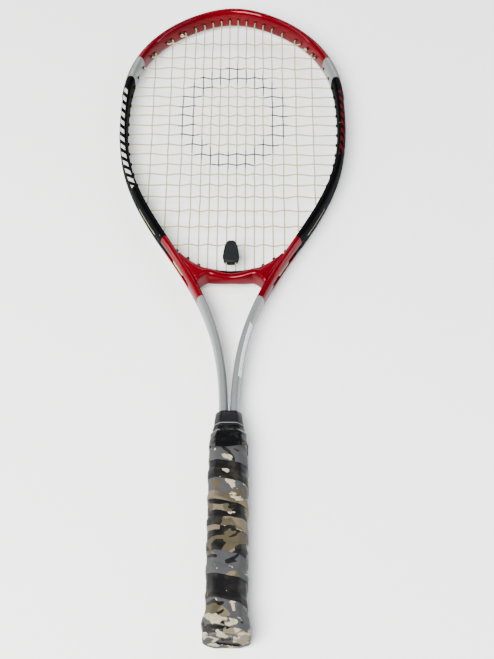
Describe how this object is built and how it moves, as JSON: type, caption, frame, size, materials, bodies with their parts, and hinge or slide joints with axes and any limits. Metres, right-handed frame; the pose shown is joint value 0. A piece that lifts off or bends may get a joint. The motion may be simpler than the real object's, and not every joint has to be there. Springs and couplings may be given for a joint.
{
  "type": "squash racket",
  "caption": "Strung squash racket with an open-throat alloy frame, moulded throat yoke, string dampener and a wrapped handle.",
  "frame": {"origin": "centre of the racket's box, on the level that its lowest face lies on", "axes": "+Y from the butt to the tip of the head, +X across the head, +Z square to the strings"},
  "size_m": [0.2148, 0.6859, 0.0332],
  "materials": {
    "frame_paint": "gloss metallic lacquer in red, silver and black zones",
    "yoke_paint": "gloss metallic red lacquer",
    "black_nylon": "satin moulded nylon",
    "bumper_plastic": "clear smoky plastic",
    "string_nylon": "cream twisted nylon",
    "black_rubber": "satin black rubber",
    "pallet_foam": "rigid moulded foam",
    "cap_plastic": "moulded plastic",
    "staple_steel": "bright wire",
    "base_grip_skin": "perforated synthetic leather",
    "overgrip_print": "worn printed wrap in mottled earth colours",
    "tape_vinyl": "gloss black stretch tape",
    "label_paper": "blank white sticker"
  },
  "bodies": {
    "racket": {"frame_tube": "frame_paint", "throat_bridge": "yoke_paint", "bumper_guard": "bumper_plastic", "head_grommet_strip": "black_nylon", "left_grommet_strip": "black_nylon", "right_grommet_strip": "black_nylon", "throat_grommet_strip": "black_nylon", "throat_grommet_1": "black_nylon", "throat_grommet_2": "black_nylon", "throat_grommet_3": "black_nylon", "throat_grommet_4": "black_nylon", "throat_grommet_5": "black_nylon", "throat_grommet_6": "black_nylon", "main_string": "string_nylon", "cross_string": "string_nylon", "collar": "black_rubber", "finishing_tape": "tape_vinyl", "overgrip": "overgrip_print", "base_grip": "base_grip_skin", "front_pallet": "pallet_foam", "back_pallet": "pallet_foam", "butt_cap": "cap_plastic", "front_staple": "staple_steel", "back_staple": "staple_steel", "shaft_label": "label_paper"},
    "dampener": {"vibration_dampener": "black_rubber"}
  },
  "joints": [
    {"name": "dampener_slide", "type": "slide", "parent": "racket", "child": "dampener", "axis": [0, 1, 0], "range_m": [-0.006, 0.004]}
  ]
}
